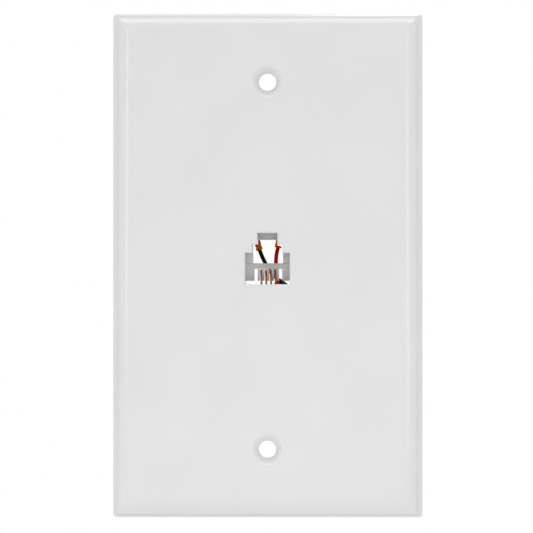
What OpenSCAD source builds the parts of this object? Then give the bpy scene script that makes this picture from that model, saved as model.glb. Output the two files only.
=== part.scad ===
// Flush wall plate with one six-position modular telephone socket.
// X runs to the right seen from the front, Y into the wall and Z up.
// The origin is the centre of the plate on the plane of its rear rim.

/* [Wall plate] */
// Width of the plate at its rear rim
plate_w = 70.4; // [64:0.2:86]
// Height of the plate at its rear rim
plate_h = 114.6; // [108:0.2:130]
// Depth of the plate from its rear rim to its flat face
plate_depth = 5.6; // [5.2:0.2:6.4]
// Thickness of the moulding behind the flat face
face_t = 2.2; // [1.8:0.1:2.4]
// Thickness of the rim wall at its rear edge
rim_t = 1.8; // [1.4:0.1:2.4]
// Distance from the outer edge to the flat face
border_w = 5; // [4:0.5:7]
// Depth of the rounded part of the border
border_drop = 2; // [1.4:0.1:2.2]
// How far the left and right walls lean in
side_lean = 1.1; // [0.6:0.1:1.4]
// How far the top and bottom walls lean in
end_lean = 0.7; // [0.4:0.1:1.2]
// Radius of the outer corners
corner_r = 1; // [0.6:0.1:2]

/* [Mounting holes] */
// Distance between the two plate screws
hole_pitch = 83.3; // [80:0.1:88]
// Diameter of the through holes
hole_d = 4; // [3.6:0.1:4.4]
// Diameter of the countersinks on the face
sink_d = 7; // [6.4:0.1:7.6]
// Full angle of the countersinks
sink_angle = 82; // [78:1:90]
// Diameter of the bosses round the holes
boss_d = 8.6; // [8:0.2:10]

/* [Plug socket] */
// Width of the opening for the plug body
socket_w = 10.1; // [10:0.1:10.6]
// Height of the opening for the plug body
socket_h = 7.1; // [7:0.1:7.4]
// Width of the shallow step above it
step_w = 6.8; // [6.2:0.1:7.2]
// Height of the shallow step
step_h = 1.9; // [1.6:0.1:2.2]
// Width of the slot for the plug latch
key_w = 4.5; // [4:0.1:5]
// Height of the slot for the plug latch
key_h = 2.6; // [2.2:0.1:3]
// Depth of the socket from the flat face
socket_depth = 12; // [11.5:0.1:13]
// Thickness of the socket walls
socket_t = 1.3; // [1:0.1:1.6]
// Chamfer round the mouth of the socket
mouth_chamfer = 0.3; // [0.2:0.05:0.4]
// Thickness of the rear wall of the socket
back_wall_t = 1.4; // [1.2:0.1:1.8]

/* [Spring contacts] */
// Distance between neighbouring contacts
contact_pitch = 1.1; // [1.02:0.02:1.16]
// Diameter of the contact wire
wire_d = 0.46; // [0.4:0.02:0.5]
// Radius of the bend at the front of the carrier
bend_r = 1.45; // [1.35:0.05:1.5]
// Sideways lean of the wires from the comb down to the bend
wire_lean = 0.26; // [0:0.02:0.3]

/* [Terminals] */
// Distance of the terminal screws from the middle, sideways
post_x = 5.8; // [5.6:0.1:7]
// Distance of the terminal screws from the middle, up and down
post_z = 13.6; // [13.2:0.1:16]
// Diameter of the screw posts
post_d = 7.4; // [7:0.2:8]
// How far the screw posts reach behind the rear wall of the socket
post_rise = 0.8; // [0.8:0.1:1.8]
// Diameter of the terminal screws
screw_d = 2.9; // [2.5:0.1:3.1]
// Diameter of the screw heads
head_d = 6; // [5.4:0.1:6.6]
// Diameter of the terminal washers
washer_d = 7; // [6.4:0.1:7.6]
// Thickness of the terminal washers
washer_t = 0.7; // [0.5:0.1:1]
// Thickness of the spade lugs
lug_t = 0.4; // [0.3:0.05:0.5]

/* [Leads] */
// Outer diameter of the insulated leads
lead_d = 0.94; // [0.76:0.02:0.96]

/* [View] */
// Part to show

/* [Hidden] */
$fn = 64;
// Overshoot of cutters, overlap of joined bodies, and the two clearances of fitted parts
cut = 1;
bite = 0.4;
nip = 0.05;
fit = 0.1;
slip = 0.03;

// Plate
face_y = -plate_depth;
floor_y = face_y + face_t;
hollow_lean = 1;
rib_t = 1.2;
rib_drop = 0.6;
rib_room = 6;
rib_x = plate_w * 0.2;
rib_z = post_z + post_d / 2 + rib_room;
hole_z = hole_pitch / 2;

// Socket, measured up from its floor
socket_low = -4.2;
shoulder_z = socket_low + socket_h;
step_z = shoulder_z + step_h;
key_z = step_z + key_h;
back_y = face_y + socket_depth;
wall_back_y = back_y + back_wall_t;
ledge = 0.35;
comb_y = back_y - ledge;

// Window, crossbar and comb of the rear wall
window_w = 6.8;
window_drop = 1.5;
window_top = key_z - window_drop;
bar_h = 1.3;
bar_chamfer = 0.2;
slot_h = 2.7;
slit_h = 0.75;
comb_low = socket_low + slit_h;
bar_low = comb_low + slot_h;
bar_top = bar_low + bar_h;
comb_gap = 0.72;
slot_w = wire_d + 2 * 0.05;
end_rib_t = [0.45, 0.58];
comb_end = [
    -1.5 * contact_pitch - slot_w / 2 - end_rib_t[0],
    1.5 * contact_pitch + slot_w / 2 + end_rib_t[1]
];

// Contact carrier and its pocket
carrier_h = 3;
carrier_top = socket_low - fit;
carrier_low = carrier_top - carrier_h;
pocket_low = carrier_low - fit;
housing_low = pocket_low - socket_t;
nose_z = carrier_low + bend_r + wire_d / 2 + 0.07;
nose_r = nose_z - carrier_low;
nose_y = floor_y + 0.15 + nose_r;
wire_z = nose_z - bend_r;
tip_set = 0.4;
tip_y = wall_back_y - tip_set;
tip_z = bar_low - slip - wire_d / 2;
arm_slope = next_slope(next_slope(next_slope(19)));
flange_t = 1.2;
carrier_back = wall_back_y + flange_t;
snap_x = 3.7;
snap_w = 1.4;
snap_l = 1.8;
snap_h = 0.8;
snap_run = 5;
snap_y = nose_y + snap_run;

// Splices and leads
tail_y = carrier_back + 1.6;
splice_d = contact_pitch - 0.1;
splice_y = carrier_back + 0.2;
splice_l = 3;
lead_y = splice_y + splice_l;
stub_l = 1.3;

// Screw posts and terminals
post_y = wall_back_y + post_rise;
web_t = 1.3;
web_x = socket_w / 2 + socket_t - web_t / 2;
web_y = back_y / 2;
bore_l = 8;
shank_l = 7.2;
lug_y = post_y + lug_t;
head_y = lug_y + washer_t;
head_h = 1.9;
drive_w = 0.8;
drive_h = 1;
fork_d = 6.2;
tongue_w = 2.4;
neck_w = 1.2;
neck_tip_w = 0.9;
neck_end_w = [neck_tip_w, neck_tip_w, 0.3, lug_t];
crimp_root_w = [1.5, 1.5, 0.62, 1.5];
crimp_d = 1.6;
crimp_h = [0.8, 0.8, 0.5, 0.6];
bore_run = 2.4;
crimp_y = post_y + crimp_d / 2;

contact_x = [-1.5 * contact_pitch, -0.5 * contact_pitch, 0.5 * contact_pitch, 1.5 * contact_pitch];
groove_x = [for (x = contact_x) x + wire_lean];
post_at = [[-post_x, -post_z], [post_x, -post_z], [post_x, post_z], [-post_x, post_z]];
elbow_at = [
    post_at[0] + [-3.6, 3.6],
    post_at[1] + [3.6, 3.6],
    [1.96, 8.4],
    [-2.08, 8.4]
];
crimp_at = [
    elbow_at[0] + [-2, 3.2],
    elbow_at[1] + [2, 3.2],
    [2.27, 4.37],
    [-2.1, 3.87]
];
root_at = [crimp_at[0], crimp_at[1], crimp_at[2] + [-0.45, 0.13], crimp_at[3]];
crimp_lean = [32, -32, -12, 21];

// Slope of the free arm that leaves the bend and ends at the tip, one step closer
function next_slope(s) = atan2(tip_z - nose_z - bend_r * cos(s), tip_y - nose_y + bend_r * sin(s));

// Profile across X and Z, carried along Y from one plane to another
module slab(y0, y1) {
    translate([0, y1, 0])
        rotate([90, 0, 0])
            linear_extrude(height = y1 - y0)
                children();
}

// Profile across Y and Z, carried along X about the middle
module across(w) {
    rotate([90, 0, 90])
        linear_extrude(height = w, center = true)
            children();
}

// Round bar along Y
module bar_y(d, y0, y1) {
    slab(y0, y1) circle(d = d);
}

// Rectangle given by its half width and its lower and upper edge
module band(half, low, high) {
    translate([-half, low])
        square([2 * half, high - low]);
}

// Copies at the left and right, or at the top and bottom
module both_x() {
    children();
    mirror([1, 0, 0]) children();
}

module both_z() {
    children();
    mirror([0, 0, 1]) children();
}

// Cross section of the plate: leaning wall, rounded border and flat face
module edge_section(half, lean) {
    crest = face_y + border_drop;
    run = border_w - lean;
    arc_r = (run * run + border_drop * border_drop) / (2 * border_drop);
    flat = half - border_w;
    polygon([[-half, 0], [half, 0], [half - lean, crest], [lean - half, crest]]);
    band(flat, face_y, crest + bite);
    for (side = [-1, 1]) {
        intersection() {
            translate([side * flat, face_y + arc_r])
                circle(r = arc_r);
            translate([side * (flat + run / 2), 0])
                band(run / 2, face_y, crest + bite);
        }
    }
}

// Cross section of the hollow behind the face
module hollow_section(half) {
    low = half - rim_t - hollow_lean;
    high = half - rim_t + hollow_lean * cut / (0 - floor_y);
    polygon([[-high, cut], [high, cut], [low, floor_y], [-low, floor_y]]);
}

// Solid between two sections, one across X and one across Z
module crossed(w, h) {
    intersection() {
        linear_extrude(height = h + 2 * cut, center = true)
            children(0);
        rotate([0, -90, 0])
            linear_extrude(height = w + 2 * cut, center = true)
                children(1);
    }
}

module corner_cutters() {
    both_x() both_z()
        difference() {
            translate([plate_w / 2 - corner_r, face_y - cut, plate_h / 2 - corner_r])
                cube([corner_r + cut, plate_depth + 2 * cut, corner_r + cut]);
            translate([plate_w / 2 - corner_r, 0, plate_h / 2 - corner_r])
                bar_y(2 * corner_r, face_y - 2 * cut, 2 * cut);
        }
}

module plate_shell() {
    difference() {
        crossed(plate_w, plate_h) {
            edge_section(plate_w / 2, side_lean);
            edge_section(plate_h / 2, end_lean);
        }
        crossed(plate_w, plate_h) {
            hollow_section(plate_w / 2);
            hollow_section(plate_h / 2);
        }
        corner_cutters();
    }
}

module stiffening_ribs() {
    reach_x = plate_w / 2 - rim_t + bite / 2;
    reach_z = plate_h / 2 - rim_t + bite / 2;
    slab(floor_y - bite, -rib_drop) {
        for (side = [-1, 1]) {
            translate([side * rib_x, 0])
                band(rib_t / 2, -reach_z, reach_z);
            translate([0, side * rib_z])
                band(reach_x, -rib_t / 2, rib_t / 2);
        }
    }
}

module screw_bosses() {
    both_z()
        translate([0, 0, hole_z])
            bar_y(boss_d, floor_y - bite, 0);
}

module screw_holes() {
    sink_h = (sink_d - hole_d) / 2 / tan(sink_angle / 2);
    flare = cut * tan(sink_angle / 2);
    both_z()
        translate([0, 0, hole_z]) {
            bar_y(hole_d, face_y - cut, cut);
            translate([0, face_y + sink_h, 0])
                rotate([90, 0, 0])
                    cylinder(h = sink_h + cut, r1 = hole_d / 2, r2 = sink_d / 2 + flare);
        }
}

// Keyed outline of the socket, grown by a wall thickness and lowered at the foot
module socket_outline(grow, low) {
    band(socket_w / 2 + grow, low, shoulder_z + grow);
    band(step_w / 2 + grow, shoulder_z - bite, step_z + grow);
    band(key_w / 2 + grow, step_z - bite, key_z + grow);
}

// Flared rectangle that chamfers one step of the mouth
module flare_block(half, low, high) {
    middle = (low + high) / 2;
    reach = (high - low) / 2;
    lip = mouth_chamfer;
    translate([0, 0, middle])
        crossed(2 * half + 2 * lip, 2 * reach + 2 * lip) {
            polygon([
                [-half - 2 * lip, face_y - lip], [half + 2 * lip, face_y - lip],
                [half, face_y + lip], [-half, face_y + lip]
            ]);
            polygon([
                [-reach - 2 * lip, face_y - lip], [reach + 2 * lip, face_y - lip],
                [reach, face_y + lip], [-reach, face_y + lip]
            ]);
        }
}

module socket_space() {
    slab(face_y - cut, comb_y)
        socket_outline(0, socket_low);
    slab(face_y - cut, back_y)
        intersection() {
            socket_outline(0, socket_low);
            band(socket_w, bar_top, key_z + cut);
        }
    across(socket_w)
        polygon([
            [comb_y - cut, bar_top - bar_chamfer - cut],
            [comb_y + bar_chamfer + nip, bar_top + nip],
            [comb_y - cut, bar_top + nip]
        ]);
    flare_block(socket_w / 2, socket_low, shoulder_z);
    flare_block(step_w / 2, shoulder_z - bite, step_z);
    flare_block(key_w / 2, step_z - bite, key_z);
}

module carrier_pocket() {
    slab(floor_y, wall_back_y + cut)
        band(socket_w / 2, pocket_low, comb_low);
    for (side = [-1, 1]) {
        translate([side * snap_x, snap_y, housing_low - cut])
            translate([-snap_w / 2 - fit, -fit, 0])
                cube([snap_w + 2 * fit, snap_l + 4 * fit, socket_t + 2 * cut]);
    }
}

// Window, comb slots and side gaps of the rear wall
module rear_wall_cuts() {
    slab(comb_y - cut, wall_back_y + cut) {
        band(window_w / 2, bar_top, window_top);
        for (x = contact_x) {
            translate([x, 0])
                band(slot_w / 2, comb_low - cut, bar_low);
        }
        for (x = [comb_end[0] - comb_gap / 2, comb_end[1] + comb_gap / 2]) {
            translate([x, 0])
                band(comb_gap / 2, comb_low - cut, bar_low);
        }
    }
}

module screw_posts() {
    for (p = post_at) {
        translate([p[0], 0, p[1]])
            bar_y(post_d, floor_y - bite, post_y);
    }
    slab(floor_y - bite, back_y)
        for (side = [-1, 1]) {
            translate([side * web_x, 0]) {
                band(web_t / 2, shoulder_z, post_z);
                band(web_t / 2, -post_z, housing_low + bite);
            }
        }
    both_z()
        slab(floor_y - bite, web_y)
            band(post_x, post_z - web_t / 2, post_z + web_t / 2);
}

module post_bores() {
    for (p = post_at) {
        translate([p[0], 0, p[1]])
            bar_y(screw_d + 2 * slip, post_y - bore_l, post_y + cut);
    }
}

module wall_plate() {
    color([0.93, 0.93, 0.91])
        difference() {
            union() {
                plate_shell();
                stiffening_ribs();
                screw_bosses();
                slab(floor_y - bite, wall_back_y)
                    socket_outline(socket_t, housing_low);
                screw_posts();
            }
            screw_holes();
            socket_space();
            carrier_pocket();
            rear_wall_cuts();
            post_bores();
        }
}

// Side view of the carrier with its round nose
module carrier_section() {
    translate([nose_y, carrier_low])
        square([wall_back_y - nose_y + bite, carrier_top - carrier_low]);
    intersection() {
        translate([nose_y, nose_z])
            circle(r = nose_r);
        translate([nose_y - nose_r - cut, carrier_low - cut])
            square([2 * nose_r + cut, carrier_top - carrier_low + cut]);
    }
}

// Side view of the groove that one contact wire lies in
module groove_section() {
    core_r = bend_r - wire_d / 2 - slip;
    translate([nose_y - bite, carrier_low - 2 * cut])
        square([carrier_back - nose_y + 2 * cut, nose_z - core_r - carrier_low + 2 * cut]);
    difference() {
        translate([nose_y - nose_r - cut, carrier_low - 2 * cut])
            square([nose_r + cut, 2 * nose_r + 4 * cut]);
        translate([nose_y, nose_z])
            circle(r = core_r);
    }
}

module contact_carrier() {
    color([0.92, 0.92, 0.9])
        difference() {
            union() {
                across(socket_w - 2 * fit)
                    carrier_section();
                slab(wall_back_y, carrier_back)
                    band(socket_w / 2 + socket_t, housing_low, carrier_top);
                for (side = [-1, 1]) {
                    translate([side * snap_x, snap_y, 0])
                        translate([-snap_w / 2, 0, carrier_low - snap_h])
                            cube([snap_w, snap_l, snap_h + bite]);
                }
            }
            for (x = groove_x) {
                translate([x, 0, 0])
                    across(slot_w)
                        groove_section();
            }
        }
}

// One round wire: straight tail, bend round the nose and sloping free arm
module contact_wire(i) {
    arm_start = [nose_y, nose_z] + bend_r * [cos(90 + arm_slope), sin(90 + arm_slope)];
    arm_l = (tip_y - arm_start[0]) / cos(arm_slope);
    arm_lean = atan2(wire_lean, arm_l);
    straight_d = wire_d - 0.01;
    color([0.8, 0.55, 0.15])
        translate([groove_x[i], 0, 0])
            rotate([90, 0, 90]) {
                translate([nose_y - nip, wire_z])
                    rotate([0, 90, 0])
                        cylinder(h = tail_y - nose_y + nip, d = straight_d);
                translate([nose_y, nose_z])
                    rotate([0, 0, 90 + arm_slope])
                        rotate_extrude(angle = 180 - arm_slope)
                            translate([bend_r, 0])
                                circle(d = wire_d);
                translate(arm_start)
                    rotate([0, arm_lean, arm_slope])
                        translate([-nip, 0, 0])
                            rotate([0, 90, 0])
                                cylinder(h = arm_l + nip, d = straight_d);
            }
}

// Crimped sleeve that joins a contact tail and a lead
module splice(i) {
    color([0.75, 0.7, 0.55])
        translate([groove_x[i], 0, wire_z])
            difference() {
                bar_y(splice_d, splice_y, splice_y + splice_l);
                bar_y(wire_d + 2 * slip, splice_y - cut, splice_y + splice_l + cut);
            }
}

// Flat strip between two points with a width at each end
module strip(p, q, w0, w1) {
    d = (q - p) / norm(q - p);
    n = [-d[1], d[0]] / 2;
    polygon([p + w0 * n, q + w1 * n, q - w1 * n, p - w0 * n]);
}

// Spade lug: fork under the washer, cranked neck and crimp band round the lead.
// The necks of the two upper lugs are turned edge-on where they pass the window.
module lug(i) {
    post = post_at[i];
    elbow = elbow_at[i];
    crimp = crimp_at[i];
    turned = i > 1;
    waist = turned ? [elbow[0], window_top] : elbow;
    away = (post - elbow) / norm(post - elbow);
    slot = screw_d + 4 * fit;
    color([0.72, 0.47, 0.12])
        difference() {
            union() {
                slab(post_y, lug_y)
                    difference() {
                        union() {
                            translate(post)
                                circle(d = fork_d);
                            strip(post, elbow, tongue_w, neck_w);
                            translate(elbow)
                                circle(d = neck_w);
                        }
                        translate(post)
                            circle(d = slot);
                        strip(post, post + fork_d * away, slot, slot);
                    }
                if (turned)
                    slab(post_y, post_y + neck_tip_w)
                        strip(elbow, waist - [0, bite], lug_t, lug_t);
                slab(post_y, lug_y)
                    strip(waist, root_at[i], neck_end_w[i], crimp_root_w[i]);
                translate([crimp[0], crimp_y, crimp[1]])
                    rotate([0, -crimp_lean[i], 0])
                        cylinder(h = crimp_h[i], d = crimp_d, center = true);
            }
            translate([crimp[0], crimp_y, crimp[1]])
                rotate([0, -crimp_lean[i], 0])
                    cylinder(h = 2 * bore_run, d = lead_d + 2 * slip, center = true);
        }
}

module washer(i) {
    color([0.78, 0.78, 0.76])
        translate([post_at[i][0], 0, post_at[i][1]])
            difference() {
                bar_y(washer_d, lug_y, head_y);
                bar_y(screw_d + 2 * fit, lug_y - cut, head_y + cut);
            }
}

module terminal_screw(i) {
    dome_r = head_d;
    color([0.8, 0.8, 0.78])
        translate([post_at[i][0], 0, post_at[i][1]])
            difference() {
                union() {
                    bar_y(screw_d, post_y - shank_l, head_y + bite);
                    intersection() {
                        bar_y(head_d, head_y, head_y + head_h);
                        translate([0, head_y + head_h - dome_r, 0])
                            sphere(r = dome_r);
                    }
                }
                rotate([0, 25 + 40 * i, 0])
                    slab(head_y + head_h - drive_h, head_y + head_h + cut)
                        band(head_d, -drive_w / 2, drive_w / 2);
            }
}

// Smooth path through a few points
function curve_point(a, b, c, d, t) =
    0.5 * (2 * b + (c - a) * t + (2 * a - 5 * b + 4 * c - d) * t * t
        + (3 * b - a - 3 * c + d) * t * t * t);
function smooth_path(p, steps) = let (n = len(p)) [
    for (i = [0 : n - 2])
        for (s = [0 : (i == n - 2 ? steps : steps - 1)])
            curve_point(
                i == 0 ? 2 * p[0] - p[1] : p[i - 1], p[i], p[i + 1],
                i == n - 2 ? 2 * p[n - 1] - p[n - 2] : p[i + 2], s / steps)
];
function unit(v) = v / norm(v);
function path_direction(p, i) = unit(p[min(i + 1, len(p) - 1)] - p[max(i - 1, 0)]);
function upright(u, t) = unit(u - (u * t) * t);

// Round tube carried along a path, with eight flat sides
module tube(path, d) {
    sides = 8;
    n = len(path);
    ups = [for (i = 0, u = upright([0, 0, 1], path_direction(path, 0));
        i < n;
        i = i + 1, u = upright(u, path_direction(path, min(i, n - 1)))) u];
    points = [
        for (i = [0 : n - 1])
            let (t = path_direction(path, i), u = ups[i], v = cross(t, u))
                for (k = [0 : sides - 1])
                    path[i] + d / 2 * (u * cos(360 * k / sides) + v * sin(360 * k / sides))
    ];
    faces = concat(
        [[for (k = [0 : sides - 1]) k]],
        [[for (k = [sides - 1 : -1 : 0]) (n - 1) * sides + k]],
        [
            for (i = [0 : n - 2])
                for (k = [0 : sides - 1])
                    let (a = i * sides + k, b = i * sides + (k + 1) % sides)
                        each [[a, a + sides, b + sides], [a, b + sides, b]]
        ]
    );
    polyhedron(points = points, faces = faces);
}

// Points of each lead between its splice and its crimp band, from the rear wall of the socket
function lead_bends(i) =
    i == 0 ? [
        [-2, 6, -7], [-4.2, 6.4, -6], [-6.8, 5, -4],
        [-9.4, 3.4, -2.6], [-11.8, 2.2, -2.2]
    ]
    : i == 1 ? [
        [0.1, 6.4, -6.95], [0.9, 7.2, -6.6], [1.6, 7.7, -5.6], [1.76, 7.8, -4.6], [1.8, 7.8, -4],
        [1.98, 7.8, -3.56], [2.4, 7.8, -3.38], [2.82, 7.8, -3.56], [3.4, 7.6, -3.98],
        [4.2, 7.2, -4.58], [5, 6.7, -4.98], [6.2, 5.8, -5], [8, 4.6, -4.2],
        [9.8, 3.4, -2.9], [11.8, 2.2, -2.2]
    ]
    : i == 2 ? [
        [1.1, 5.9, -6.6], [1.7, 5.8, -5.5], [2.07, 5.2, -4.1],
        [1.92, 4.4, -2.6], [1.76, 3.6, -1], [1.75, 2.7, 0.7]
    ]
    : [
        [2.5, 6.1, -6.5], [3.1, 6.4, -5.4], [2.95, 6.4, -4.2], [2.1, 6.2, -3.1],
        [1.1, 5.7, -2.1], [0.25, 4.8, -1], [-0.42, 3.7, 0.1], [-0.88, 2.8, 0.95]
    ];

// Reach and bend of a lead's free end behind its crimp band
end_run = [1, 1, 0.2, 1];
end_bend = [[0, 0, 0], [0, 0, 0], [0, 0, 0], [-0.3, 0.15, 0.02]];

module lead(i) {
    shades = [[0.9, 0.8, 0.1], [0.05, 0.35, 0.12], [0.7, 0.05, 0.05], [0.05, 0.05, 0.05]];
    start = [groove_x[i], lead_y, wire_z];
    outward = i < 2 ? -1 : 1;
    away = outward * [sin(crimp_lean[i]), 0, -cos(crimp_lean[i])];
    held = [crimp_at[i][0], crimp_y, crimp_at[i][1]];
    curved = smooth_path(concat(
        [start + [0, 0.3, 0], start + [0, 0.9, 0]],
        [for (p = lead_bends(i)) p + [0, wall_back_y, 0]],
        [held + 1.8 * away, held + 0.9 * away]), 6);
    color(shades[i]) {
        tube(concat(
            [start], curved,
            [held + 0.6 * away, held - 0.5 * end_run[i] * away, held - end_run[i] * away + end_bend[i]]
        ), lead_d);
        translate([groove_x[i], 0, wire_z])
            bar_y(wire_d, lead_y - stub_l, lead_y + bite);
    }
}

wall_plate();
contact_carrier();
contact_wire(0);  // contact_yellow
contact_wire(1);  // contact_green
contact_wire(2);  // contact_red
contact_wire(3);  // contact_black
splice(0);  // splice_yellow
splice(1);  // splice_green
splice(2);  // splice_red
splice(3);  // splice_black
lead(0);  // lead_yellow
lead(1);  // lead_green
lead(2);  // lead_red
lead(3);  // lead_black
lug(0);  // lug_yellow
lug(1);  // lug_green
lug(2);  // lug_red
lug(3);  // lug_black
washer(0);  // washer_yellow
washer(1);  // washer_green
washer(2);  // washer_red
washer(3);  // washer_black
terminal_screw(0);  // terminal_screw_yellow
terminal_screw(1);  // terminal_screw_green
terminal_screw(2);  // terminal_screw_red
terminal_screw(3);  // terminal_screw_black
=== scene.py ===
import math

import bpy
from bpy.props import FloatProperty, FloatVectorProperty, PointerProperty
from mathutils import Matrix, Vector


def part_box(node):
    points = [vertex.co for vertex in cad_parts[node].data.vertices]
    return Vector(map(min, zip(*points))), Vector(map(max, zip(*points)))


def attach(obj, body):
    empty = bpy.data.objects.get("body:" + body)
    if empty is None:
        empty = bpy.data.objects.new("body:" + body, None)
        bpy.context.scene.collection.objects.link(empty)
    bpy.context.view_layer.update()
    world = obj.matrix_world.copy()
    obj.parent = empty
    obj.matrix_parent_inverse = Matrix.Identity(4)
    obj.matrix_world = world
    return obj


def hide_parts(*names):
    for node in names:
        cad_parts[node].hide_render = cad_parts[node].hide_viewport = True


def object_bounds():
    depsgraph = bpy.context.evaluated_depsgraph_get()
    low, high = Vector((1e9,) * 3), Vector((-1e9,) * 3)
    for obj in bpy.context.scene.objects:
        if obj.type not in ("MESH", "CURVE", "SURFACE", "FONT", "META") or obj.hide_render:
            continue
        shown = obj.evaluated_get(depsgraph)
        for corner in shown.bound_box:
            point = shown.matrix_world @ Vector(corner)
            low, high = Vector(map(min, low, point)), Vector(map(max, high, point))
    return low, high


bl_info = {
    "name": "Telephone wall socket",
    "version": (1, 0, 0),
    "blender": (4, 5, 0),
    "location": "View3D > Sidebar > Wall socket",
    "description": "Dresses the wall plate, its spring contacts, leads and screw terminals",
    "category": "Object",
}

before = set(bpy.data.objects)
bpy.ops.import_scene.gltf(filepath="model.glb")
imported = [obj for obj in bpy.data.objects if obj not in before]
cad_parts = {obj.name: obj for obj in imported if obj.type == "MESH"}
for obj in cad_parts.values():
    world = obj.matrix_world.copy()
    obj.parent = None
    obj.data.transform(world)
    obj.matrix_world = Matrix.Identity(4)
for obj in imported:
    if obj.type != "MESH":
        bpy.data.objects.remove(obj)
CAD_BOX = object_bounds()

MM = 0.001
LEAD_COLOURS = ("yellow", "green", "red", "black")

# Points closer than this are one point, and faces this near to an end belong to it
MERGE = 0.0005 * MM
NEAR = 0.02 * MM

# Edges sharper than these many degrees are bevelled or stay sharp in the shading
SHARP = 35

# Contact wires: bend radius, sideways lean of the arm and centre of its tip (Y, Z)
BEND_R = 1.45 * MM
WIRE_LEAN = 0.26 * MM
TIP_Y = 7.4 * MM
TIP_Z = -1.01 * MM

# Lead routes in millimetres, measured back from the rear wall of the socket
REAR_WALL = Vector((0, 7.8, 0))
LEAD_BENDS = {
    "yellow": ((-2, 6, -7), (-4.2, 6.4, -6), (-6.8, 5, -4), (-9.4, 3.4, -2.6), (-11.8, 2.2, -2.2)),
    "green": (
        (0.1, 6.4, -6.95), (0.9, 7.2, -6.6), (1.6, 7.7, -5.6), (1.76, 7.8, -4.6), (1.8, 7.8, -4),
        (1.98, 7.8, -3.56), (2.4, 7.8, -3.38), (2.82, 7.8, -3.56), (3.4, 7.6, -3.98),
        (4.2, 7.2, -4.58), (5, 6.7, -4.98), (6.2, 5.8, -5), (8, 4.6, -4.2),
        (9.8, 3.4, -2.9), (11.8, 2.2, -2.2),
    ),
    "red": (
        (1.1, 5.9, -6.6), (1.7, 5.8, -5.5), (2.07, 5.2, -4.1),
        (1.92, 4.4, -2.6), (1.76, 3.6, -1), (1.75, 2.7, 0.7),
    ),
    "black": (
        (2.5, 6.1, -6.5), (3.1, 6.4, -5.4), (2.95, 6.4, -4.2), (2.1, 6.2, -3.1),
        (1.1, 5.7, -2.1), (0.25, 4.8, -1), (-0.42, 3.7, 0.1), (-0.88, 2.8, 0.95),
    ),
}

# Sleeve end of a lead: its straight run out of the sleeve, and its core's reach into it
LEAD_OUT = (0.3 * MM, 0.9 * MM)
CORE_REACH = 1.3 * MM

# Crimp bands: centre in millimetres, lean in degrees, reach and bend of the lead's free end
CRIMPS = {
    "yellow": ((-11.4, 9.4, -6.8), 32, 1, (0, 0, 0)),
    "green": ((11.4, 9.4, -6.8), -32, 1, (0, 0, 0)),
    "red": ((2.27, 9.4, 4.37), -12, 0.2, (0, 0, 0)),
    "black": ((-2.1, 9.4, 3.87), 21, 1, (-0.3, 0.15, 0.02)),
}

# Splice sleeves: place, edges and reach of the two dents in shares of the sleeve's length,
# height that a dent leaves, radius of the bores in wire diameters and their share of a half
DENT_PLACE = 0.22
DENT_EDGES = (-0.11, -0.06, 0.06, 0.11)
DENT_REACH = 0.08
DENT_HEIGHT = 0.74
SLEEVE_BORE = 0.54
SLEEVE_BORE_DEPTH = 0.3

# Lamps: distance in metres, azimuth and elevation in degrees, width and height in metres,
# watts, and whether the part mirrors them
LAMPS = (
    ("front", 1.1, 2, -4, (0.25, 0.25), 1.6, False),
    ("top", 1.0, 0, 75, (0.7, 0.4), 2.5, True),
    ("left", 1.0, -75, 0, (0.3, 0.8), 1.6, False),
    ("right", 1.0, 75, 0, (0.3, 0.8), 1.4, False),
    ("low", 0.3, 0, -60, (0.3, 0.1), 0.07, False),
    ("left strip", 1.0, -33, 3, (0.18, 0.5), 0.85, True),
    ("right strip", 1.0, 28, 0, (0.18, 0.5), 0.85, True),
)
BACK_LAMP = Vector((0.3, 1.0, 0.8))
BACK_LAMP_SIZE = (0.7, 0.7)
BACK_LAMP_POWER = 1.5
WORLD_LEVEL = 0.41

# Camera: aim off the middle of the plate, and its turn to the side in degrees
AIM_X = -0.2 * MM
AIM_Z = -0.18 * MM
CAMERA_TURN = 0.8

FLOOR_SIZE = 1.0
FLOOR_Y = 0.1


# Properties


class SocketSizes(bpy.types.PropertyGroup):
    """Sizes that a user would change"""

    edge_round: FloatProperty(
        name="Moulded edge",
        description="Rounding of the moulded plastic edges",
        default=0.12 * MM,
        min=0.02 * MM,
        unit="LENGTH",
    )
    metal_round: FloatProperty(
        name="Metal edge",
        description="Rounding of stamped and turned metal edges",
        default=0.05 * MM,
        min=0.01 * MM,
        unit="LENGTH",
    )
    wire_d: FloatProperty(
        name="Contact wire",
        description="Diameter of the round contact wire",
        default=0.46 * MM,
        unit="LENGTH",
    )
    core_d: FloatProperty(
        name="Lead core",
        description="Diameter of the copper core of the leads",
        default=0.46 * MM,
        unit="LENGTH",
    )
    lead_d: FloatProperty(
        name="Lead",
        description="Outer diameter of the insulated leads",
        default=0.93 * MM,
        unit="LENGTH",
    )
    camera_distance: FloatProperty(
        name="Camera distance",
        description="Distance of the camera from the face of the plate",
        default=0.9,
        unit="LENGTH",
    )
    view_width: FloatProperty(
        name="View width",
        description="Width that the picture covers at the face of the plate",
        default=120.6 * MM,
        unit="LENGTH",
    )
    floor_drop: FloatProperty(
        name="Floor drop",
        description="Distance of the floor below the plate",
        default=0.3,
        unit="LENGTH",
    )


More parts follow.
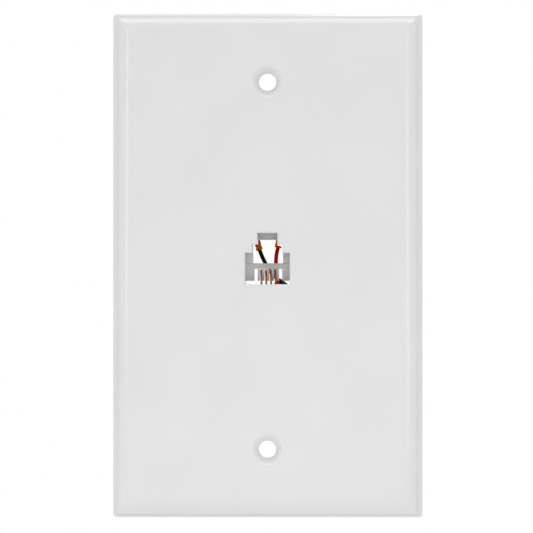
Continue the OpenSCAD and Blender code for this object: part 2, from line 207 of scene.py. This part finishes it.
class SocketColours(bpy.types.PropertyGroup):
    """Colours that a user would change"""

    plate: FloatVectorProperty(
        name="Plate",
        description="White gloss plastic of the plate",
        default=(0.86, 0.86, 0.86),
        subtype="COLOR",
    )
    carrier: FloatVectorProperty(
        name="Carrier",
        description="White plastic of the contact carrier",
        default=(0.72, 0.71, 0.68),
        subtype="COLOR",
    )
    contact: FloatVectorProperty(
        name="Contacts",
        description="Gold plating of the spring contacts",
        default=(0.68, 0.24, 0.0),
        subtype="COLOR",
    )
    brass: FloatVectorProperty(
        name="Lugs",
        description="Brass of the spade lugs",
        default=(0.6, 0.14, 0.004),
        subtype="COLOR",
    )
    steel: FloatVectorProperty(
        name="Screws",
        description="Plating of the terminal screws and washers",
        default=(0.5, 0.49, 0.45),
        subtype="COLOR",
    )
    sleeve: FloatVectorProperty(
        name="Sleeves",
        description="Tinned copper of the splice sleeves",
        default=(0.66, 0.6, 0.5),
        subtype="COLOR",
    )
    copper: FloatVectorProperty(
        name="Lead cores",
        description="Bare copper at the cut ends of the leads",
        default=(0.7, 0.33, 0.16),
        subtype="COLOR",
    )
    yellow: FloatVectorProperty(
        name="Yellow lead", description="Insulation", default=(0.8, 0.52, 0.02), subtype="COLOR"
    )
    green: FloatVectorProperty(
        name="Green lead", description="Insulation", default=(0.006, 0.05, 0.016), subtype="COLOR"
    )
    red: FloatVectorProperty(
        name="Red lead", description="Insulation", default=(0.7, 0.0, 0.0), subtype="COLOR"
    )
    black: FloatVectorProperty(
        name="Black lead", description="Insulation", default=(0.0015, 0.0015, 0.0015), subtype="COLOR"
    )


def sizes():
    return bpy.context.scene.wall_socket_sizes


def colours():
    return bpy.context.scene.wall_socket_colours


# Materials


class Finish:
    """A principled material on Object coordinates, built up node by node"""

    def __init__(self, name):
        self.material = bpy.data.materials.new(name)
        self.material.use_nodes = True
        self.tree = self.material.node_tree
        self.shader = self.tree.nodes["Principled BSDF"]
        self.place = self.tree.nodes.new("ShaderNodeTexCoord").outputs["Object"]

    def node(self, kind, **values):
        made = self.tree.nodes.new(kind)
        for key, value in values.items():
            setattr(made, key, value)
        return made

    def link(self, output, target):
        self.tree.links.new(output, target)

    def noise(self, scale, detail, stretch=(1, 1, 1)):
        mapping = self.node("ShaderNodeMapping")
        mapping.inputs["Scale"].default_value = stretch
        self.link(self.place, mapping.inputs["Vector"])
        noise = self.node("ShaderNodeTexNoise")
        noise.inputs["Scale"].default_value = scale
        noise.inputs["Detail"].default_value = detail
        self.link(mapping.outputs["Vector"], noise.inputs["Vector"])
        return noise.outputs["Fac"]

    def span(self, value, low, high, source=(0.3, 0.7)):
        """Maps a noise value to a range"""
        ramp = self.node("ShaderNodeMapRange")
        ramp.inputs["From Min"].default_value = source[0]
        ramp.inputs["From Max"].default_value = source[1]
        ramp.inputs["To Min"].default_value = low
        ramp.inputs["To Max"].default_value = high
        self.link(value, ramp.inputs["Value"])
        return ramp.outputs["Result"]

    def mix(self, value, first, second):
        """Mixes two colours by a value"""
        mix = self.node("ShaderNodeMix", data_type="RGBA")
        mix.inputs[6].default_value = (*first, 1)
        mix.inputs[7].default_value = (*second, 1)
        self.link(value, mix.inputs["Factor"])
        return mix.outputs[2]

    def bump(self, height, strength, distance):
        bump = self.node("ShaderNodeBump")
        bump.inputs["Strength"].default_value = strength
        bump.inputs["Distance"].default_value = distance
        self.link(height, bump.inputs["Height"])
        self.link(bump.outputs["Normal"], self.shader.inputs["Normal"])


def shade(colour, factor):
    return tuple(channel * factor for channel in colour)


def moulded_plastic(name, colour, roughness):
    """Injection moulded plastic: faint flow clouds and a fine orange peel"""
    finish = Finish(name)
    clouds = finish.noise(60, 2)
    finish.link(
        finish.mix(finish.span(clouds, 0, 1), colour, shade(colour, 0.97)),
        finish.shader.inputs["Base Color"],
    )
    peel = finish.noise(900, 2)
    finish.link(
        finish.span(peel, roughness * 0.85, roughness * 1.15),
        finish.shader.inputs["Roughness"],
    )
    finish.shader.inputs["IOR"].default_value = 1.52
    finish.bump(peel, 0.08, 0.02 * MM)
    return finish.material


def plated_wire(name, colour):
    """Gold plated spring wire, dull in the drawing marks that run along it"""
    finish = Finish(name)
    marks = finish.noise(2500, 3, (6, 0.4, 0.4))
    finish.link(
        finish.mix(finish.span(marks, 0, 1), colour, shade(colour, 0.7)),
        finish.shader.inputs["Base Color"],
    )
    finish.link(finish.span(marks, 0.24, 0.4), finish.shader.inputs["Roughness"])
    finish.shader.inputs["Metallic"].default_value = 0.55
    finish.shader.inputs["Specular Tint"].default_value = (*shade(colour, 2), 1)
    finish.bump(marks, 0.1, 0.01 * MM)
    return finish.material


def stamped_brass(name, colour):
    """Stamped brass with painted shade in upright fold lines and light rolling marks"""
    finish = Finish(name)
    folds = finish.noise(1500, 2, (1, 1, 0.12))
    # Painted shade: the brass darkens to three tenths of its colour along upright fold lines
    fold_painted_shade = finish.mix(finish.span(folds, 0, 1, (0.44, 0.6)), colour, shade(colour, 0.3))
    finish.link(fold_painted_shade, finish.shader.inputs["Base Color"])
    rolled = finish.noise(2200, 2, (1, 1, 8))
    finish.link(finish.span(rolled, 0.24, 0.42), finish.shader.inputs["Roughness"])
    finish.shader.inputs["Metallic"].default_value = 0.8
    finish.shader.inputs["Specular Tint"].default_value = (*shade(colour, 1.8), 1)
    finish.bump(folds, 0.2, 0.03 * MM)
    return finish.material


def plated_metal(name, colour, roughness):
    """Plated metal with a mottled surface"""
    finish = Finish(name)
    mottle = finish.noise(1400, 4)
    finish.link(
        finish.mix(finish.span(mottle, 0, 1), colour, shade(colour, 0.78)),
        finish.shader.inputs["Base Color"],
    )
    finish.link(
        finish.span(mottle, roughness * 0.75, roughness * 1.3),
        finish.shader.inputs["Roughness"],
    )
    finish.shader.inputs["Metallic"].default_value = 1.0
    finish.bump(mottle, 0.08, 0.01 * MM)
    return finish.material


def vinyl(name, colour):
    """Soft vinyl insulation with a dull, slightly wavy skin"""
    finish = Finish(name)
    waves = finish.noise(500, 3)
    finish.link(
        finish.mix(finish.span(waves, 0, 1), colour, shade(colour, 0.8)),
        finish.shader.inputs["Base Color"],
    )
    finish.link(finish.span(waves, 0.42, 0.6), finish.shader.inputs["Roughness"])
    finish.shader.inputs["Specular IOR Level"].default_value = 0.08
    finish.bump(waves, 0.1, 0.03 * MM)
    return finish.material


# Modelling helpers


def deselect_all():
    bpy.ops.object.select_all(action="DESELECT")


def make_active(obj):
    deselect_all()
    obj.select_set(True)
    bpy.context.view_layer.objects.active = obj


def in_edit_mode(obj):
    make_active(obj)
    bpy.ops.object.mode_set(mode="EDIT")
    bpy.ops.mesh.select_all(action="SELECT")


def leave_edit_mode():
    bpy.ops.object.mode_set(mode="OBJECT")


def apply_modifiers(obj):
    make_active(obj)
    for modifier in list(obj.modifiers):
        bpy.ops.object.modifier_apply(modifier=modifier.name)


def pick(obj, kind, wanted):
    """Selects the faces or points of a mesh that pass a test, ready for edit mode operators"""
    in_edit_mode(obj)
    bpy.ops.mesh.select_mode(type="FACE" if kind == "faces" else "VERT")
    bpy.ops.mesh.select_all(action="DESELECT")
    leave_edit_mode()
    for element in obj.data.polygons if kind == "faces" else obj.data.vertices:
        element.select = wanted(element)
    bpy.ops.object.mode_set(mode="EDIT")


def extrude_by(offset):
    bpy.ops.mesh.extrude_region_move(TRANSFORM_OT_translate={"value": tuple(offset)})


def close_up(obj, angle=40):
    """Closes open ends, points the faces outwards and smooths all but sharp edges"""
    in_edit_mode(obj)
    bpy.ops.mesh.remove_doubles(threshold=2 * MERGE)
    bpy.ops.mesh.fill_holes(sides=0)
    bpy.ops.mesh.select_all(action="SELECT")
    bpy.ops.mesh.normals_make_consistent(inside=False)
    leave_edit_mode()
    bpy.ops.object.shade_smooth_by_angle(angle=math.radians(angle))


def bevel_edges(obj, width, angle=SHARP):
    bevel = obj.modifiers.new("round", "BEVEL")
    bevel.width = width
    bevel.segments = 2
    bevel.limit_method = "ANGLE"
    bevel.angle_limit = math.radians(angle)
    apply_modifiers(obj)


def shifted_copy(obj, name, offset):
    """A copy with its own mesh, moved in its mesh"""
    copy = bpy.data.objects.new(name, obj.data.copy())
    bpy.context.collection.objects.link(copy)
    in_edit_mode(copy)
    bpy.ops.transform.translate(value=tuple(offset))
    leave_edit_mode()
    return copy


def fit_out(obj, materials, node):
    """Gives a finished piece its materials and the node that it stands for"""
    obj.data.materials.clear()
    for material in materials:
        obj.data.materials.append(material)
    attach(obj, "root")
    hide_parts(node)


def rounded_copy(node, name, width):
    """A merged copy of a node's mesh with its sharp edges rounded and its flat faces shaded flat"""
    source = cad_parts[node]
    obj = bpy.data.objects.new(name, source.data.copy())
    bpy.context.collection.objects.link(obj)
    in_edit_mode(obj)
    bpy.ops.mesh.remove_doubles(threshold=MERGE)
    bpy.ops.mesh.dissolve_limited(angle_limit=math.radians(0.5))
    leave_edit_mode()
    bevel_edges(obj, width)
    bpy.ops.object.shade_smooth_by_angle(angle=math.radians(SHARP))
    even = obj.modifiers.new("even", "WEIGHTED_NORMAL")
    even.keep_sharp = True
    apply_modifiers(obj)
    return obj


def tube_along(points, diameter, name):
    """A round tube along points, made as a curve and turned into a closed mesh"""
    curve = bpy.data.curves.new(name, "CURVE")
    curve.dimensions = "3D"
    curve.bevel_depth = diameter / 2
    curve.bevel_resolution = 5
    curve.use_fill_caps = True
    spline = curve.splines.new("POLY")
    spline.points.add(len(points) - 1)
    for target, point in zip(spline.points, points):
        target.co = (*point, 1)
    obj = bpy.data.objects.new(name, curve)
    bpy.context.collection.objects.link(obj)
    make_active(obj)
    bpy.ops.object.convert(target="MESH")
    close_up(obj, 50)
    return obj


def smooth_path(points, steps):
    """A smooth path through points, with a few steps from each point to the next"""
    path = []
    ahead = 2 * points[-1] - points[-2]
    held = [2 * points[0] - points[1], *points, ahead]
    for a, b, c, d in zip(held, held[1:], held[2:], held[3:]):
        for step in range(steps):
            t = step / steps
            path.append(
                0.5 * (2 * b + (c - a) * t + (2 * a - 5 * b + 4 * c - d) * t * t
                       + (3 * b - a - 3 * c + d) * t ** 3)
            )
    return [*path, points[-1]]


def lead_route(colour, start):
    """The points of a lead from its sleeve, through its bends, to its free end in the crimp band"""
    crimp, lean, reach, bend = CRIMPS[colour]
    held = Vector(crimp) * MM
    turn = math.radians(lean)
    away = Vector((math.sin(turn), 0, -math.cos(turn))) * MM
    if colour in ("yellow", "green"):
        away.negate()
    straight = [start + Vector((0, run, 0)) for run in LEAD_OUT]
    bends = [(Vector(point) + REAR_WALL) * MM for point in LEAD_BENDS[colour]]
    through = [*straight, *bends, held + 1.8 * away, held + 0.9 * away]
    return [
        start,
        *smooth_path(through, 10),
        held + 0.6 * away,
        held - 0.5 * reach * away,
        held - reach * away + Vector(bend) * MM,
    ]


def bare_ends(lead, route):
    """Shows the copper core at both ends of a lead, and draws it out into the sleeve"""
    skin = (sizes().lead_d - sizes().core_d) / 2
    for end, reach in ((route[0], CORE_REACH), (route[-1], 0)):
        pick(lead, "faces", lambda face: (face.center - end).length < NEAR)
        bpy.ops.mesh.inset(thickness=skin)
        lead.active_material_index = 1
        if reach:
            extrude_by((0, -reach, 0))
        bpy.ops.object.material_slot_assign()
        leave_edit_mode()


# Operators


class WALLSOCKET_OT_mould_plate(bpy.types.Operator):
    """Makes the plate moulding with rounded edges"""

    bl_idname = "wallsocket.mould_plate"
    bl_label = "Mould plate"

    def execute(self, context):
        plate = rounded_copy("wall_plate", "plate_moulding", sizes().edge_round)
        finish = moulded_plastic("white_gloss_plastic", tuple(colours().plate), 0.2)
        fit_out(plate, [finish], "wall_plate")
        return {"FINISHED"}


class WALLSOCKET_OT_mould_carrier(bpy.types.Operator):
    """Makes the contact carrier with rounded edges"""

    bl_idname = "wallsocket.mould_carrier"
    bl_label = "Mould contact carrier"

    def execute(self, context):
        carrier = rounded_copy("contact_carrier", "carrier_moulding", sizes().metal_round)
        finish = moulded_plastic("white_carrier_plastic", tuple(colours().carrier), 0.38)
        fit_out(carrier, [finish], "contact_carrier")
        return {"FINISHED"}


class WALLSOCKET_OT_bend_contacts(bpy.types.Operator):
    """Draws, bends and tips the four contact wires"""

    bl_idname = "wallsocket.bend_contacts"
    bl_label = "Bend contacts"

    def execute(self, context):
        low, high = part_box("contact_yellow")
        radius = sizes().wire_d / 2
        bend = Vector((high.x - radius, low.y + radius + BEND_R, low.z + radius + BEND_R))
        # The slope of the arm and its start on the bend depend on each other
        slope = math.radians(19)
        for _ in range(6):
            rise = TIP_Z - bend.z - BEND_R * math.cos(slope)
            slope = math.atan2(rise, TIP_Y - bend.y + BEND_R * math.sin(slope))
        arm_start = bend + BEND_R * Vector((0, -math.sin(slope), math.cos(slope)))
        tip = Vector((bend.x - WIRE_LEAN, TIP_Y, TIP_Z))

        deselect_all()
        bpy.ops.mesh.primitive_circle_add(
            vertices=24,
            radius=radius,
            location=(bend.x, high.y, bend.z - BEND_R),
            rotation=(math.radians(90), 0, 0),
        )
        wire = context.object
        wire.name = "wire_yellow"
        bpy.ops.object.transform_apply(location=True, rotation=True, scale=True)
        in_edit_mode(wire)
        extrude_by((0, bend.y - high.y, 0))
        bpy.ops.mesh.spin(
            steps=20, angle=math.pi - slope, center=tuple(bend), axis=(-1, 0, 0)
        )
        extrude_by(tip - arm_start)
        leave_edit_mode()
        close_up(wire)
        bevel_edges(wire, radius * 0.35, 60)

        gold = plated_wire("gold_plated_wire", tuple(colours().contact))
        wires = [wire]
        for colour in LEAD_COLOURS[1:]:
            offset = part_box(f"contact_{colour}")[0] - low
            wires.append(shifted_copy(wire, f"wire_{colour}", offset))
        for colour, piece in zip(LEAD_COLOURS, wires):
            fit_out(piece, [gold], f"contact_{colour}")
        return {"FINISHED"}


class WALLSOCKET_OT_crimp_sleeves(bpy.types.Operator):
    """Makes the four sleeves that join contacts and leads, each pressed flat in two places"""

    bl_idname = "wallsocket.crimp_sleeves"
    bl_label = "Crimp sleeves"

    def execute(self, context):
        low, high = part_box("splice_yellow")
        middle = (low + high) / 2
        length = high.y - low.y
        deselect_all()
        bpy.ops.mesh.primitive_cylinder_add(
            vertices=32,
            radius=(high.x - low.x) / 2,
            depth=length,
            location=tuple(middle),
            rotation=(math.radians(90), 0, 0),
        )
        sleeve = context.object
        sleeve.name = "sleeve_yellow"
        bpy.ops.object.transform_apply(location=True, rotation=True, scale=True)
        dents = (middle.y - length * DENT_PLACE, middle.y + length * DENT_PLACE)
        for dent in dents:
            for shift in DENT_EDGES:
                in_edit_mode(sleeve)
                bpy.ops.mesh.bisect(plane_co=(0, dent + shift * length, 0), plane_no=(0, 1, 0))
                leave_edit_mode()
        for dent in dents:
            pick(sleeve, "points", lambda point: abs(point.co.y - dent) < DENT_REACH * length)
            bpy.ops.transform.resize(
                value=(1, 1, DENT_HEIGHT), center_override=(middle.x, dent, middle.z)
            )
            leave_edit_mode()
        for end in (low.y, high.y):
            pick(sleeve, "faces", lambda face: abs(face.center.y - end) < 2 * MERGE)
            bore = sizes().wire_d * SLEEVE_BORE
            bpy.ops.mesh.inset(thickness=(high.x - low.x) / 2 - bore)
            extrude_by((0, (middle.y - end) * SLEEVE_BORE_DEPTH, 0))
            leave_edit_mode()
        close_up(sleeve)
        bevel_edges(sleeve, sizes().metal_round, 50)

        tinned = plated_metal("tinned_copper", tuple(colours().sleeve), 0.32)
        sleeves = [sleeve]
        for colour in LEAD_COLOURS[1:]:
            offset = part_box(f"splice_{colour}")[0] - low
            sleeves.append(shifted_copy(sleeve, f"sleeve_{colour}", offset))
        for colour, piece in zip(LEAD_COLOURS, sleeves):
            fit_out(piece, [tinned], f"splice_{colour}")
        return {"FINISHED"}


class WALLSOCKET_OT_stamp_lugs(bpy.types.Operator):
    """Makes the four spade lugs with their crimp bands"""

    bl_idname = "wallsocket.stamp_lugs"
    bl_label = "Stamp lugs"

    def execute(self, context):
        brass = stamped_brass("stamped_brass", tuple(colours().brass))
        for colour in LEAD_COLOURS:
            lug = rounded_copy(f"lug_{colour}", f"spade_lug_{colour}", sizes().metal_round)
            fit_out(lug, [brass], f"lug_{colour}")
        return {"FINISHED"}


class WALLSOCKET_OT_turn_screws(bpy.types.Operator):
    """Makes the four terminal screws and their washers"""

    bl_idname = "wallsocket.turn_screws"
    bl_label = "Turn screws and washers"

    def execute(self, context):
        steel = plated_metal("zinc_plated_steel", tuple(colours().steel), 0.3)
        for colour in LEAD_COLOURS:
            for node, name in (
                (f"terminal_screw_{colour}", f"binding_screw_{colour}"),
                (f"washer_{colour}", f"flat_washer_{colour}"),
            ):
                part = rounded_copy(node, name, 2 * sizes().metal_round)
                fit_out(part, [steel], node)
        return {"FINISHED"}


class WALLSOCKET_OT_draw_leads(bpy.types.Operator):
    """Draws the four insulated leads from their sleeves to their crimp bands"""

    bl_idname = "wallsocket.draw_leads"
    bl_label = "Draw leads"

    def execute(self, context):
        core = plated_metal("bare_copper", tuple(colours().copper), 0.3)
        for colour in LEAD_COLOURS:
            low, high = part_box(f"splice_{colour}")
            start = Vector(((low.x + high.x) / 2, high.y, (low.z + high.z) / 2))
            route = lead_route(colour, start)
            lead = tube_along(route, sizes().lead_d, f"insulated_lead_{colour}")
            skin = vinyl(f"{colour}_vinyl", tuple(getattr(colours(), colour)))
            fit_out(lead, [skin, core], f"lead_{colour}")
            bare_ends(lead, route)
        return {"FINISHED"}


def softbox(name, place, size, power, mirrored):
    """A rectangular lamp that looks at the middle of the plate"""
    light = bpy.data.lights.new(name, "AREA")
    light.shape = "RECTANGLE"
    light.size, light.size_y = size
    light.energy = power
    obj = bpy.data.objects.new(name, light)
    bpy.context.collection.objects.link(obj)
    obj.location = place
    obj.rotation_euler = (-Vector(place)).to_track_quat("-Z", "Y").to_euler()
    obj.visible_glossy = mirrored


def white_where_seen(tree, plain):
    """Strength 1 for camera, glossy and transmission rays, and a plain level for all others"""
    path = tree.nodes.new("ShaderNodeLightPath")
    seen = path.outputs["Is Camera Ray"]
    for name in ("Is Glossy Ray", "Is Transmission Ray"):
        either = tree.nodes.new("ShaderNodeMath")
        either.operation = "MAXIMUM"
        tree.links.new(seen, either.inputs[0])
        tree.links.new(path.outputs[name], either.inputs[1])
        seen = either.outputs["Value"]
    level = tree.nodes.new("ShaderNodeMapRange")
    level.inputs["To Min"].default_value = plain
    level.inputs["To Max"].default_value = 1.0
    tree.links.new(seen, level.inputs["Value"])
    return level.outputs["Result"]


def around(distance, azimuth, elevation):
    """A place in front of the plate, by its angles from the line straight out"""
    a, e = math.radians(azimuth), math.radians(elevation)
    return Vector((math.sin(a) * math.cos(e), -math.cos(a) * math.cos(e), math.sin(e))) * distance


class WALLSOCKET_OT_set_stage(bpy.types.Operator):
    """Sets the camera, the lamps, the white surroundings and the floor"""

    bl_idname = "wallsocket.set_stage"
    bl_label = "Set stage"

    def execute(self, context):
        scene = context.scene
        low = Vector(CAD_BOX[0])
        aim = Vector((AIM_X, low.y, AIM_Z))
        turn = math.radians(CAMERA_TURN)
        away = Vector((math.sin(turn), -math.cos(turn), 0))
        camera_data = bpy.data.cameras.new("camera")
        camera = bpy.data.objects.new("camera", camera_data)
        context.collection.objects.link(camera)
        camera.location = aim + away * sizes().camera_distance
        camera.rotation_euler = (-away).to_track_quat("-Z", "Y").to_euler()
        camera_data.sensor_width = 36
        camera_data.lens = 36 * sizes().camera_distance / sizes().view_width
        camera_data.clip_start = 0.01
        camera_data.clip_end = 20
        scene.camera = camera

        for name, distance, azimuth, elevation, size, power, mirrored in LAMPS:
            softbox(name, around(distance, azimuth, elevation), size, power, mirrored)
        softbox("back", BACK_LAMP, BACK_LAMP_SIZE, BACK_LAMP_POWER, True)

        world = bpy.data.worlds.new("surroundings")
        scene.world = world
        world.use_nodes = True
        tree = world.node_tree
        background = tree.nodes["Background"]
        background.inputs["Color"].default_value = (1, 1, 1, 1)
        tree.links.new(white_where_seen(tree, WORLD_LEVEL), background.inputs["Strength"])

        bpy.ops.mesh.primitive_plane_add(
            size=FLOOR_SIZE, location=(0, FLOOR_Y, low.z - sizes().floor_drop)
        )
        floor = context.object
        floor.name = "floor"
        finish = Finish("pale_floor")
        finish.shader.inputs["Base Color"].default_value = (0.85, 0.85, 0.85, 1)
        finish.shader.inputs["Roughness"].default_value = 0.8
        floor.data.materials.append(finish.material)

        scene.view_settings.view_transform = "Standard"
        return {"FINISHED"}


class WALLSOCKET_PT_panel(bpy.types.Panel):
    """Lists the steps that dress the wall socket"""

    bl_idname = "WALLSOCKET_PT_panel"
    bl_label = "Wall socket"
    bl_space_type = "VIEW_3D"
    bl_region_type = "UI"
    bl_category = "Wall socket"

    def draw(self, context):
        column = self.layout.column()
        for step in STEPS:
            column.operator(step.bl_idname)
        for group in (sizes(), colours()):
            for name in group.__annotations__:
                column.prop(group, name)


STEPS = (
    WALLSOCKET_OT_mould_plate,
    WALLSOCKET_OT_mould_carrier,
    WALLSOCKET_OT_bend_contacts,
    WALLSOCKET_OT_crimp_sleeves,
    WALLSOCKET_OT_stamp_lugs,
    WALLSOCKET_OT_turn_screws,
    WALLSOCKET_OT_draw_leads,
    WALLSOCKET_OT_set_stage,
)
CLASSES = (SocketSizes, SocketColours, *STEPS, WALLSOCKET_PT_panel)


def register():
    for cls in CLASSES:
        bpy.utils.register_class(cls)
    bpy.types.Scene.wall_socket_sizes = PointerProperty(type=SocketSizes)
    bpy.types.Scene.wall_socket_colours = PointerProperty(type=SocketColours)


def unregister():
    del bpy.types.Scene.wall_socket_colours
    del bpy.types.Scene.wall_socket_sizes
    for cls in reversed(CLASSES):
        bpy.utils.unregister_class(cls)


def main():
    register()
    bpy.ops.wallsocket.mould_plate()
    bpy.ops.wallsocket.mould_carrier()
    bpy.ops.wallsocket.bend_contacts()
    bpy.ops.wallsocket.crimp_sleeves()
    bpy.ops.wallsocket.stamp_lugs()
    bpy.ops.wallsocket.turn_screws()
    bpy.ops.wallsocket.draw_leads()
    bpy.ops.wallsocket.set_stage()


if __name__ == "__main__":
    main()
